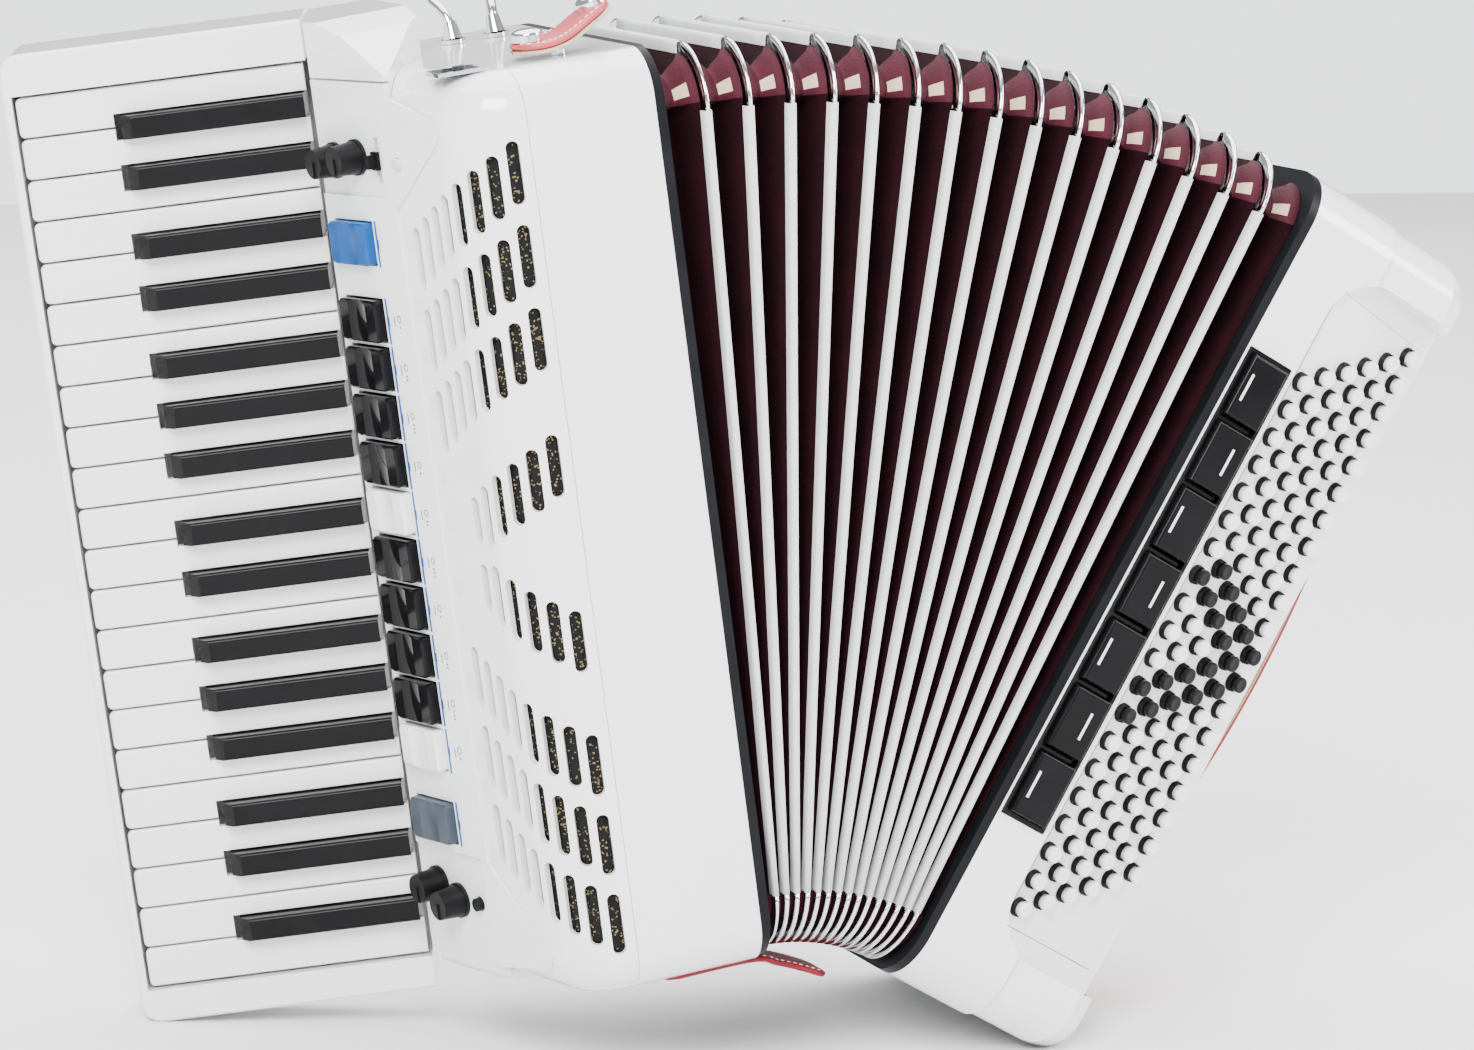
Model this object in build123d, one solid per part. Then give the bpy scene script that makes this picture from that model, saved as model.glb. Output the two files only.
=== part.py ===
from build123d import *
import math
import os

# Piano accordion standing half open on its keyboard housing and its bass casing.
# Millimetres. +X runs along the bellows, -Y is the front, +Z is up.

# ---- driving dimensions -------------------------------------------------------
TREBLE_LEAN = 9.24
FOLDS = 15
FAN = 38.3
DELTA = FAN / (FOLDS + 1)
FOLD_PITCH = 3.70
BODY_H = 404.0
BODY_D = 190.0
BODY_R = 24.0
WALL = 3.0
GASKET_T = 4.7

STAND_X = -23.411
STAND_Y = -107.241
STAND_Z = 53.075

TOP_R = 20.0
SEAM_X = -62.0
CORNER_X = -64.0
CORNER_R = 32.0
CORNER_TURN = 79.0
PANEL_FRONT = (-103.3, 62.0)
PANEL_TILT = 14.0
PANEL_W = 61.0
PANEL_Z0 = 2.0
PANEL_Z1 = 402.0

KEY_ORIGIN = (-114.0, 136.0)
KEY_TILT = 20.0
KEY_PITCH = 18.5
KEY_GAP = 0.9
WHITE_KEYS = 22
WHITE_LEN = 128.5
BLACK_LEN = 84.0
BLACK_W = 10.4
BLACK_RISE = 8.0
KEY_TRAVEL = 2.4
AXLE_R = 2.0
AXLE_X = -9.0
AXLE_Y = 15.0
HOUSE_OUT = 133.6
HOUSE_TOP = 426.0
HOUSE_BOTTOM = -16.0
HOUSE_DEEP = 40.0

SLOT_L = 27.0
SLOT_W = 5.6
SLOT_PITCH = 35.5
SLOT_STEP = 5.2
SLOT_FIRST = 375.5
SLOT_MIDDLE = 249.8
SLOT_MIRROR = 198.0
SLOT_COLUMNS = 8
SLOT_SPACING = 9.2

REG_W = 30.0
REG_H = 18.6
REG_PITCH = 21.4
REG_Y = 38.0
REG_TOP = 330.5
REG_FIRST = 296.6
REG_BOTTOM = 70.5

BASS_FRONT = 31.0
BASS_TILT = 25.0
BASS_W = 106.0
BASS_PANEL_W = 80.0
BASS_PANEL_Z0 = 36.0
BASS_PANEL_Z1 = 372.0
BUTTON_ROWS = 20
BUTTON_COLS = 6
BUTTON_PITCH = 13.97
BUTTON_COL = 12.3
BUTTON_STEP = 7.7
BUTTON_X0 = 13.1
BUTTON_Z0 = 319.0
BUTTON_R = 3.1
BASS_BARS = 7
BAR_PITCH = 33.2
BAR_TOP = 320.0

NOTES = "GABCDEF"
BLACK_AFTER = {"G": 0.3, "A": -3.8, "C": 2.5, "D": -2.3, "F": 4.3}


# ---- frames ---------------------------------------------------------------------
def turn_y(angle):
    return Location((0, 0, 0), (0, angle, 0))


TREBLE = Location((STAND_X, STAND_Y, STAND_Z)) * turn_y(-TREBLE_LEAN)
PANEL = TREBLE * Location((PANEL_FRONT[0], PANEL_FRONT[1], 0), (0, 0, PANEL_TILT))
KEYS = TREBLE * Location((KEY_ORIGIN[0], KEY_ORIGIN[1], 0), (0, 0, -KEY_TILT))


def fold_frame(k):
    place = TREBLE
    for _ in range(k):
        place = place * Location((FOLD_PITCH / 2, 0, 0)) * turn_y(DELTA) * Location((FOLD_PITCH / 2, 0, 0))
    return place


BASS = fold_frame(FOLDS + 1)
BASS_FACE = BASS * Location((BASS_FRONT, 2.0, 0), (0, 0, BASS_TILT))


# ---- helpers --------------------------------------------------------------------
def box(x0, x1, y0, y1, z0, z1):
    return Pos((x0 + x1) / 2, (y0 + y1) / 2, (z0 + z1) / 2) * Box(x1 - x0, y1 - y0, z1 - z0)


def prism(points, z0, z1):
    face = make_face(Polyline(*[(p[0], p[1], z0) for p in points], close=True))
    return extrude(face, amount=z1 - z0, dir=(0, 0, 1))


def prism_along_y(points, y0, y1):
    face = make_face(Polyline(*[(p[0], y0, p[1]) for p in points], close=True))
    return extrude(face, amount=y1 - y0, dir=(0, 1, 0))


def prism_along_x(points, x0, x1):
    face = make_face(Polyline(*[(x0, p[0], p[1]) for p in points], close=True))
    return extrude(face, amount=x1 - x0, dir=(1, 0, 0))


def rounded_slab(x0, x1, y0, y1, z0, z1, radius):
    plane = Plane(origin=(x0, (y0 + y1) / 2, (z0 + z1) / 2), x_dir=(0, 1, 0), z_dir=(1, 0, 0))
    return extrude(plane * RectangleRounded(y1 - y0, z1 - z0, radius), amount=x1 - x0)


def rod(start, end, radius):
    v = Vector(*end) - Vector(*start)
    plane = Plane(origin=start, z_dir=v)
    return extrude(plane * Circle(radius), amount=v.length)


def cone_between(start, end, r0, r1):
    v = Vector(*end) - Vector(*start)
    plane = Plane(origin=start, z_dir=v)
    cone = Cone(r0, r1, v.length)
    return plane.location * Pos(0, 0, v.length / 2) * cone


def save(shape, node):
    solids = shape.solids() if hasattr(shape, "solids") else shape
    keep = [s for s in solids if s.volume > 0.5]
    export_step(keep[0] if len(keep) == 1 else Compound(keep), "parts/" + node + ".step")
    low = min(s.bounding_box().min.Z for s in keep)
    print(node, len(keep), round(sum(s.volume for s in keep), 1), round(low, 2))


def gather(items):
    solids = []
    for item in items:
        solids.extend(item.solids())
    return Compound(solids)


# ---- treble casing ----------------------------------------------------------------
def arc_points(inset, steps=14):
    points = []
    centre = (CORNER_X, CORNER_R)
    for i in range(steps + 1):
        t = math.radians(CORNER_TURN * i / steps)
        r = CORNER_R - inset
        points.append((centre[0] - r * math.sin(t), centre[1] - r * math.cos(t)))
    return points


def key_to_treble(x, y):
    c = math.cos(math.radians(KEY_TILT))
    s = math.sin(math.radians(KEY_TILT))
    return (KEY_ORIGIN[0] + c * x + s * y, KEY_ORIGIN[1] - s * x + c * y)


def panel_to_treble(x, y):
    c = math.cos(math.radians(PANEL_TILT))
    s = math.sin(math.radians(PANEL_TILT))
    return (PANEL_FRONT[0] + c * x - s * y, PANEL_FRONT[1] + s * x + c * y)


def near(corners, x, y):
    return min(corners, key=lambda v: math.hypot(v.X - x, v.Y - y))


def rounded_prism(points, radii, z0, z1):
    face = make_face(Polyline(*[(p[0], p[1], 0) for p in points], close=True))
    for i, radius in radii.items():
        corner = near(face.vertices(), points[i][0], points[i][1])
        face = fillet([corner], radius).face()
    return extrude(Pos(0, 0, z0) * face, amount=z1 - z0, dir=(0, 0, 1))


def level_edges(body, open_x):
    edges = []
    for e in body.edges():
        flat = abs(e.bounding_box().size.Z) < 1e-3
        if flat and abs(e.center().X - open_x) > 1e-3:
            edges.append(e)
    return edges


def treble_profile(inset):
    right = 20.0 if inset else -GASKET_T
    points = [(right, inset)]
    points.extend(arc_points(inset))
    points.append(panel_to_treble(inset, 0.0))
    points.append(panel_to_treble(inset, PANEL_W))
    points.append(key_to_treble(1.0 + inset, -4.0 + inset))
    points.append(key_to_treble(1.0 + inset, 58.0 - inset))
    points.append((-90.0, BODY_D - inset))
    points.append((right, BODY_D - inset))
    return points


def side_wall(y, inset):
    run = (PANEL_FRONT[0] + 89.7) / PANEL_FRONT[1]
    return -89.7 + run * y + inset * 1.02


def treble_solid(inset):
    right = 20.0 if inset else -GASKET_T
    back = BODY_D - inset
    lean = math.tan(math.radians(PANEL_TILT))
    points = [(right, inset), (side_wall(inset, inset), inset), (side_wall(PANEL_FRONT[1], inset), PANEL_FRONT[1])]
    points.append((PANEL_FRONT[0] + 1.03 * inset - (back - PANEL_FRONT[1]) * lean, back))
    points.append((right, back))
    body = rounded_prism(points, {1: CORNER_R - inset, 3: 14.0 - inset}, inset, BODY_H - inset)
    body = fillet(level_edges(body, right), TOP_R - inset)
    return body & prism(rear_limit(inset), -5, BODY_H + 5)


def rear_limit(inset):
    points = [(40, -10), (-160, -10), (-160, 121.2), panel_to_treble(inset, PANEL_W)]
    points.append(key_to_treble(1.0 + inset, -4.0 + inset))
    points.append(key_to_treble(1.0 + inset, 58.0 - inset))
    points.append((-90.0, 200.0))
    points.append((40.0, 200.0))
    return points


def treble_shell():
    return treble_solid(0) - treble_solid(WALL)


def cover_limit(grow):
    points = [(-62.2 + grow, -10), (-150, -10), (-150, 61.8 + grow), (-100.4 - 0.6 * grow, 61.8 + grow)]
    points.append((-62.2 + grow, 120.0 + 3.6 * grow))
    return points


def shoulder():
    foot = [panel_to_treble(0.4, 0.6), panel_to_treble(0.4, PANEL_W), key_to_treble(1.0, -4), key_to_treble(1.0, 40)]
    foot.extend([(-70.0, 174.0), (-70.0, 109.2), (-100.5, 62.6)])
    block = prism(foot, BODY_H - 2.5, HOUSE_TOP)
    side = [(-1, 380), (-1, 402.0), (1, 404.6), (30, 420), (52, 425.5), (140, 425.5), (140, 380)]
    block = block & (TREBLE.inverse() * (PANEL * prism_along_x(side, -4, 90)))
    under = TREBLE.inverse() * (PANEL * box(3.4, 24.0, 0.6, PANEL_W - 0.4, BODY_H - 24, BODY_H - 2))
    foot_block = TREBLE.inverse() * (PANEL * box(3.4, 24.0, 0.6, PANEL_W - 0.4, 0.2, 22.0))
    return block + (under + foot_block) - prism(cover_limit(0.3), 5.7, BODY_H + 0.15)


def slot_places():
    places = []
    for j in range(SLOT_COLUMNS):
        along = 6.0 + SLOT_SPACING * j
        for row in range(3):
            z = SLOT_FIRST - SLOT_STEP * j - SLOT_PITCH * row - SLOT_L / 2
            places.append((along, z))
            places.append((along, 2 * SLOT_MIRROR - z))
        if j < 6:
            z = SLOT_MIDDLE - SLOT_STEP * j - SLOT_L / 2
            if j == 5:
                z = z + 2.5
            places.append((along, z))
            places.append((along, 2 * SLOT_MIRROR - z))
    return places


def wall_frame(along):
    arc_len = math.radians(CORNER_TURN) * CORNER_R
    if along <= arc_len:
        t = along / CORNER_R
        x = CORNER_X - CORNER_R * math.sin(t)
        y = CORNER_R - CORNER_R * math.cos(t)
        return x, y, math.degrees(t)
    t = math.radians(CORNER_TURN)
    x0 = CORNER_X - CORNER_R * math.sin(t)
    y0 = CORNER_R - CORNER_R * math.cos(t)
    run = along - arc_len
    dx = PANEL_FRONT[0] - x0
    dy = PANEL_FRONT[1] - y0
    length = math.hypot(dx, dy)
    return x0 + dx * run / length, y0 + dy * run / length, math.degrees(math.atan2(dy, -dx))


def slot_cutter(along, z, short):
    x, y, angle = wall_frame(along)
    plane = Plane(origin=(x, y, z), x_dir=(-math.cos(math.radians(angle)), math.sin(math.radians(angle)), 0), z_dir=(-math.sin(math.radians(angle)), -math.cos(math.radians(angle)), 0))
    shape = SlotOverall(SLOT_L - short, SLOT_W, rotation=90)
    return extrude(plane * shape, amount=5, both=True)


def treble_parts():
    shell = treble_shell()
    cover = shell & prism(cover_limit(0.0), 6.0, BODY_H + 20)
    rest = shell - prism(cover_limit(0.3), 5.8, BODY_H + 20)
    side = [(-150, 61.6), (-97.8, 61.6), (-103.8, 90.0), (-111.8, 124.2), (-150, 124.2)]
    rest = rest - prism(side, 5.8, BODY_H - 5.8)
    cutters = []
    for along, z in slot_places():
        short = 6.0 if abs(along - (6.0 + SLOT_SPACING * 5)) < 0.1 and abs(z - SLOT_MIRROR) < 40 else 0.0
        cutters.append(slot_cutter(along, z, short))
    return rest, cover - gather(cutters)


def grille_mesh():
    outer = []
    inner = []
    for along in [2.0 + 4.0 * i for i in range(19)]:
        x, y, angle = wall_frame(along)
        nx = math.sin(math.radians(angle))
        ny = math.cos(math.radians(angle))
        outer.append((x + 4.0 * nx, y + 4.0 * ny))
        inner.append((x + 5.0 * nx, y + 5.0 * ny))
    inner.reverse()
    return prism(outer + inner, 18, 380)


def panel_wing():
    top = [(2.0, 351.0), (0.0, 347.0), (-40.0, 377.0), (-42.0, 381.0), (-40.0, 386.0), (2.0, 396.0)]
    low = [(2.0, 50.0), (0.0, 55.0), (-40.0, 22.0), (-42.0, 18.0), (-40.0, 14.0), (2.0, 8.0)]
    wings = prism_along_x(top, -1.6, 6.0) + prism_along_x(low, -1.6, 6.0)
    wings = TREBLE.inverse() * (PANEL * wings)
    return wings - prism(treble_profile(-0.2), -5, BODY_H + 5)


def control_panel():
    base = box(0.0, 3.0, 0.3, PANEL_W - 0.3, 3.5, BODY_H - 3.5)
    raised = box(-1.6, 0.5, 4, PANEL_W - 1.5, 57, 351)
    holes = []
    for z in register_heights():
        holes.append(box(-6, 8, REG_Y - REG_W / 2 - 0.6, REG_Y + REG_W / 2 + 0.6, z - REG_H / 2 - 0.6, z + REG_H / 2 + 0.6))
    for y, z in [(47.2, 366.0), (29.2, 368.0), (46.2, 39.5), (30.4, 34.0)]:
        holes.append(rod((-9, y, z), (9, y, z), 3.4))
    holes.append(box(-6, 8, 11.2, 15.2, 357, 377))
    holes.append(rod((-9, 13.9, 34.7), (9, 13.9, 34.7), 3.4))
    link = box(-1.6, -0.3, -1.5, 6.0, 8.5, 50.0) + box(-1.6, -0.3, -1.5, 6.0, 351.0, 395.5) + box(-1.6, 0.5, 1.0, 6.0, 8.5, 395.5)
    plate = TREBLE.inverse() * (PANEL * (base + raised + link)) + panel_wing()
    holes.append(rod((-9, -5.9, 366.5), (1.4, -5.9, 366.5), 3.0))
    return plate - TREBLE.inverse() * (PANEL * gather(holes))


def register_heights():
    heights = [REG_TOP]
    for i in range(10):
        heights.append(REG_FIRST - REG_PITCH * i)
    heights.append(REG_BOTTOM)
    return heights


def register_cap(z):
    y0 = REG_Y - REG_W / 2
    y1 = REG_Y + REG_W / 2
    z0 = z - REG_H / 2
    z1 = z + REG_H / 2
    cap = box(-6.2, 4.5, y0, y1, z0, z1)
    cap = fillet(cap.edges().filter_by(Axis.X), 2.2)
    cap = chamfer(cap.faces().sort_by(Axis.X)[0].edges(), 0.9)
    dish = rod((-30.2, REG_Y, z0 - 5), (-30.2, REG_Y, z1 + 5), 25.0)
    return cap - dish


def knob(y, z):
    body = cone_between((-1.8, y, z), (-12.4, y, z), 7.4, 6.4)
    skirt = rod((-0.3, y, z), (-1.9, y, z), 8.0)
    shaft = rod((-0.3, y, z), (5.0, y, z), 3.0)
    ridge = box(-13.2, -12.2, y - 0.9, y + 0.9, z - 5.6, z + 1.0)
    return body + skirt + shaft + ridge


# ---- keyboard -----------------------------------------------------------------------
def white_centre(i):
    return KEY_PITCH * (WHITE_KEYS - i) - KEY_PITCH / 2


def black_centres():
    out = []
    for i in range(WHITE_KEYS - 1):
        name = NOTES[i % 7]
        if name in BLACK_AFTER:
            out.append((name, KEY_PITCH * (WHITE_KEYS - 1 - i) + BLACK_AFTER[name]))
    return out


def white_key(i, blacks):
    z = white_centre(i)
    half = (KEY_PITCH - KEY_GAP) / 2
    top = box(-WHITE_LEN, -2.0, 0, 4.2, z - half, z + half)
    top = fillet(top.edges().filter_by(Axis.Y).group_by(Axis.X)[0], 2.4)
    top = fillet(top.faces().sort_by(Axis.Y)[0].edges().group_by(Axis.X)[0], 1.2)
    lip = box(-WHITE_LEN + 1.2, -WHITE_LEN + 4.2, 3.0, 15.0, z - half + 1.6, z + half - 1.6)
    key = top + lip
    for _, zb in blacks:
        if abs(zb - z) < KEY_PITCH:
            cut = box(-BLACK_LEN - 3.0, 0, -1, 30, zb - BLACK_W / 2 - 0.75, zb + BLACK_W / 2 + 0.75)
            key = key - cut
    tail_z0 = z - half
    tail_z1 = z + half
    for _, zb in blacks:
        if 0 < zb - z < KEY_PITCH:
            tail_z1 = min(tail_z1, zb - BLACK_W / 2 - 0.75)
        if -KEY_PITCH < zb - z < 0:
            tail_z0 = max(tail_z0, zb + BLACK_W / 2 + 0.75)
    tail = box(-15.0, -3.0, 3.0, 21.0, tail_z0, tail_z1)
    key = key + tail
    bore = rod((AXLE_X, AXLE_Y, tail_z0 - 2), (AXLE_X, AXLE_Y, tail_z1 + 2), AXLE_R + 0.08)
    return key - bore


def black_key(zb):
    half = BLACK_W / 2
    side = [(-BLACK_LEN, 5.0), (-BLACK_LEN, -2.5), (-BLACK_LEN + 5.0, -BLACK_RISE)]
    side.extend([(-3.0, -BLACK_RISE), (-3.0, 21.0), (-15.0, 21.0), (-15.0, 5.0)])
    key = prism(side, zb - half, zb + half)
    key = fillet(key.edges().filter_by(Axis.X).group_by(Axis.Y)[0], 1.5)
    bore = rod((AXLE_X, AXLE_Y, zb - half - 2), (AXLE_X, AXLE_Y, zb + half + 2), AXLE_R + 0.08)
    return key - bore


def keyboard_housing():
    out = -HOUSE_OUT
    frame = box(out, -0.4, -2.5, HOUSE_DEEP, HOUSE_BOTTOM, HOUSE_TOP)
    corner_edges = frame.edges().filter_by(Axis.Y).group_by(Axis.X)[0]
    frame = fillet(corner_edges, 9.0)
    long_edges = frame.faces().sort_by(Axis.Y)[0].edges()
    frame = chamfer(long_edges.group_by(Axis.X)[0], 1.2)
    well = box(out + 4.0, 5.0, -10, HOUSE_DEEP - 4.0, -0.9, 407.9)
    hole = rod((AXLE_X, AXLE_Y, -3.2), (AXLE_X, AXLE_Y, 410.2), AXLE_R + 0.04)
    return frame - well - box(out + 4.0, 0.5, HOUSE_DEEP - 20, HOUSE_DEEP - 4.0, -0.9, 407.9) - hole


# ---- bellows ------------------------------------------------------------------------
def fold_half(z):
    return 1.6 + 0.75 * z / BODY_H


def fold():
    zc = 30.0
    zt = BODY_H - 30.0
    low = fold_half(zc)
    high = fold_half(zt)
    side = [(-low, zc), (low, zc), (high, zt), (-high, zt)]
    front = prism_along_y(side, 2, 28)
    back = prism_along_y(side, BODY_D - 28, BODY_D - 2)
    bottom = box(-low, low, 30, BODY_D - 30, 2, 28)
    top = box(-high, high, 30, BODY_D - 30, BODY_H - 28, BODY_H - 2)
    pieces = [front, back, bottom, top]
    for y, sy in [(30.0, -1), (BODY_D - 30.0, 1)]:
        for z, sz, half in [(30.0, -1, low), (BODY_H - 30.0, 1, high)]:
            pie = Pos(0, y, z) * Rot(0, 90, 0) * Cylinder(28.0, 2 * half)
            y0, y1 = (y - 40, y) if sy < 0 else (y, y + 40)
            z0, z1 = (z - 40, z) if sz < 0 else (z, z + 40)
            pieces.append(pie & box(-5, 5, y0, y1, z0, z1))
    return gather(pieces)


def cloth_interval(k):
    place = fold_frame(k) * Location((FOLD_PITCH / 2, 0, 0)) * turn_y(DELTA / 2)
    pieces = []
    slope = math.tan(math.radians(DELTA / 2))
    z0 = 70.0
    z1 = BODY_H - 34.0
    first = k == 0
    last = k == FOLDS

    def edge(z, solid):
        reach = FOLD_PITCH / 2 + z * slope
        return reach - (0.4 if solid else fold_half(z) + 0.4)

    for sign, flat in [(-1, first), (1, last)]:
        for y_out, y_in in [(6.0, 25.0), (BODY_D - 6.0, BODY_D - 25.0)]:
            faces = []
            for z in (z0, z1):
                a = sign * edge(z, flat)
                b = sign * 0.25
                t = sign * -0.5
                pts = [(a + t, y_out, z), (b, y_in, z), (b + sign * 0.5, y_in, z), (a, y_out, z)]
                faces.append(make_face(Polyline(*pts, close=True)))
            pieces.append(loft(faces, ruled=True))
        a = sign * edge(BODY_H - 10, flat)
        a_in = sign * 0.25
        pts = [(a, BODY_H - 6.0), (a - sign * 0.5, BODY_H - 6.0), (a_in, BODY_H - 25.0), (a_in + sign * 0.5, BODY_H - 25.0)]
        pieces.append(prism_along_y(pts, 34, BODY_D - 34))
    return [place * p for p in pieces]


def gasket(x0, x1):
    outer = rounded_slab(x0, x1, 0, BODY_D, 0, BODY_H, BODY_R)
    inner = rounded_slab(x0 - 1, x1 + 1, 10, BODY_D - 10, 10, BODY_H - 10, BODY_R - 8)
    return outer - inner


# ---- bass side ----------------------------------------------------------------------
def bass_section(inset):
    left = -10.0 if inset else GASKET_T
    ring = rounded_slab(left, 48.0 - inset, inset, BODY_D - inset, inset, BODY_H - inset, BODY_R - inset)
    low = 1.8 + inset
    points = [(40.0, low), (88.0, 6.5 + inset), (BASS_W - inset, 24.0 + inset / 2)]
    points.extend([(BASS_W - inset, BODY_D - low), (40.0, BODY_D - low)])
    outer = rounded_prism(points, {2: 22.0 - inset, 3: 18.0 - inset}, low, BODY_H - low)
    outer = fillet(level_edges(outer, 40.0), 19.0 - 0.67 * inset)
    return ring + outer


def recess(grow):
    z0 = BASS_PANEL_Z0 - 3 - grow
    z1 = BASS_PANEL_Z1 + 3 + grow
    radius = 24.0
    points = [(130.0, z0)]
    for i in range(9):
        t = math.radians(90.0 * i / 8)
        points.append((radius - grow - radius * math.sin(t), z0 + radius - radius * math.cos(t)))
    for i in range(9):
        t = math.radians(90.0 * i / 8)
        points.append((radius - grow - radius * math.cos(t), z1 - radius + radius * math.sin(t)))
    points.append((130.0, z1))
    return BASS.inverse() * (BASS_FACE * prism_along_y(points, -60.0, grow))


def bass_casing():
    shell = (bass_section(0) - recess(0.0)) - (bass_section(WALL) - recess(WALL))
    window = BASS.inverse() * (BASS_FACE * box(3.0, BASS_PANEL_W - 3.0, -6, 6, BASS_PANEL_Z0 + 8, BASS_PANEL_Z1 - 8))
    bars = box(5.9, 29.5, -3, 6, BAR_TOP - BAR_PITCH * BASS_BARS - 1.0, BAR_TOP + 1.0)
    air = rod((BASS_W - 10, 66, 322), (BASS_W + 10, 66, 322), 7.5)
    return shell - window - bars - air


def button_sites():
    sites = []
    for col in range(BUTTON_COLS):
        for row in range(BUTTON_ROWS):
            sites.append((col, row, BUTTON_X0 - 6.0 + BUTTON_COL * col, BUTTON_Z0 + BUTTON_STEP * col - BUTTON_PITCH * row))
    return sites


def button_is_black(col, row):
    if row in (11, 12):
        return True
    return row in (7, 8, 9, 10) and col in (row - 7, row - 6)


def button_panel():
    plate = box(3.3, BASS_PANEL_W - 3.3, -0.6, 2.6, BASS_PANEL_Z0 + 8.3, BASS_PANEL_Z1 - 8.3)
    holes = [rod((x, -5, z), (x, 8, z), BUTTON_R + 0.5) for _, _, x, z in button_sites()]
    return plate - gather(holes)


def bass_button(x, z):
    stem = rod((x, -4.9, z), (x, 9.0, z), BUTTON_R)
    collar = rod((x, 5.6, z), (x, 7.0, z), BUTTON_R + 1.2)
    stem = chamfer(stem.faces().sort_by(Axis.Y)[0].edges(), 0.7)
    return stem + collar


def bass_bezel():
    outer = box(6.2, 29.2, -1.2, 3.4, BAR_TOP - BAR_PITCH * BASS_BARS - 0.6, BAR_TOP + 0.6)
    hole = box(7.8, 27.6, -5, 8, BAR_TOP - BAR_PITCH * BASS_BARS + 1.2, BAR_TOP - 1.2)
    frame = outer - hole
    for i in range(1, BASS_BARS):
        z = BAR_TOP - BAR_PITCH * i
        frame = frame + box(7.0, 28.4, 1.6, 3.4, z - 0.7, z + 0.7)
    return frame


def bass_bar(i):
    z0 = BAR_TOP - BAR_PITCH * (i + 1) + 1.7
    z1 = BAR_TOP - BAR_PITCH * i - 1.7
    bar = box(8.2, 27.2, -4.8, 5.5, z0, z1)
    return fillet(bar.faces().sort_by(Axis.Y)[0].edges(), 1.4)


def feet():
    pieces = []
    for z in (27.0, 385.0):
        pieces.append(cone_between((BASS_W + 0.3, 60.0, z), (BASS_W + 12.0, 60.0, z), 9.0, 7.0))
        pieces.append(cone_between((BASS_W + 0.3, 160.0, z), (BASS_W + 12.0, 160.0, z), 9.0, 7.0))
    return gather(pieces)


def hand_strap():
    outer = []
    inner = []
    for i in range(21):
        t = i / 20
        z = 34.0 + (BODY_H - 68.0) * t
        bulge = 30.0 * math.sin(math.pi * t) ** 0.7
        outer.append((BASS_W + 3.6 + bulge, z))
        inner.append((BASS_W + 0.6 + bulge, z))
    inner.reverse()
    return prism_along_y(outer + inner, 92, 150)


# ---- trims on the treble side -----------------------------------------------------
def strap_loop():
    z = BODY_H
    pieces = None
    for x in (-46.0, -26.0):
        foot = rod((x, 137, z + 0.2), (x, 137, z + 2.0), 5.6)
        foot = foot + cone_between((x, 137, z + 1.6), (x, 139, z + 9.5), 4.4, 2.9)
        pieces = foot if pieces is None else pieces + foot
    path = [(-46.0, 138.4, z + 7.0), (-47.5, 143.0, z + 14.5), (-48.0, 153.0, z + 18.5), (-43.0, 161.0, z + 20.5)]
    path.extend([(-36.0, 162.5, z + 21.0), (-29.0, 161.0, z + 20.5), (-24.0, 153.0, z + 18.5)])
    path.extend([(-24.5, 143.0, z + 14.5), (-26.0, 138.4, z + 7.0)])
    wire = Spline(*path)
    loop = sweep(Plane(origin=wire @ 0, z_dir=wire % 0) * Circle(2.3), path=wire)
    return pieces + loop


def port_frame():
    z = BODY_H
    ring = box(-92.0, -71.0, 19.0, 37.0, z + 0.2, z + 1.8)
    return ring - box(-90.6, -72.4, 20.4, 35.6, z - 1, z + 4)


def port_cover():
    z = BODY_H
    return box(-90.4, -72.6, 20.6, 35.4, z + 0.2, z + 0.9) + rod((-80.0, 28.0, z + 0.5), (-80.0, 28.0, z + 3.4), 2.6)


def strap_profile(lift):
    points = [(-54.0, 2.6), (-40.0, 2.6), (-30.0, 5.0), (-20.0, 10.5), (-8.0, 17.0)]
    return [(x, BODY_H + z + lift) for x, z in points]


def top_strap():
    under = strap_profile(0.0)
    over = strap_profile(5.0)
    over.reverse()
    strip = prism_along_y(under + over, 21.0, 45.0)
    return strip


def strap_studs():
    z = BODY_H
    pieces = [rod((-46.2, 33.0, z + 7.9), (-46.2, 33.0, z + 10.6), 7.0)]
    pieces.append(rod((-15.3, 33.0, z + 18.5), (-16.6, 33.0, z + 21.0), 7.0))
    pieces.append(rod((-33.0, 33.0, z + 0.2), (-33.0, 33.0, z + 2.4), 3.2))
    return gather(pieces)


def bottom_strap():
    under = [(-44.0, -5.4), (-2.0, -5.4), (10.0, -9.5), (22.0, -15.0), (34.0, -21.5)]
    over = [(34.0, -17.9), (22.0, -11.4), (10.0, -5.9), (-2.0, -1.8), (-44.0, -1.8)]
    return prism_along_y(under + over, 26.0, 52.0)


def speakers():
    pieces = []
    for z in (98.0, 298.0):
        frame = cone_between((-88.0, 46.0, z), (-64.0, 51.0, z), 31.0, 18.0)
        magnet = rod((-66.0, 50.6, z), (-50.0, 53.9, z), 24.0)
        pieces.append((frame + magnet) - cone_between((-91.0, 45.4, z), (-72.0, 49.3, z), 27.0, 9.0))
    return gather(pieces)


def lower_bracket():
    z = 26.0
    x = -84.0
    plate = box(x - 9, x + 9, BODY_D + 0.2, BODY_D + 2.4, z - 10, z + 10)
    ear = box(x - 2.5, x + 2.5, BODY_D + 1.5, BODY_D + 15.0, z - 6.5, z + 6.5)
    ear = fillet(ear.edges().filter_by(Axis.X).group_by(Axis.Y)[-1], 6.0)
    hole = rod((x - 5, BODY_D + 8.4, z), (x + 5, BODY_D + 8.4, z), 4.0)
    return (plate + ear) - hole


os.makedirs("parts", exist_ok=True)

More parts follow.
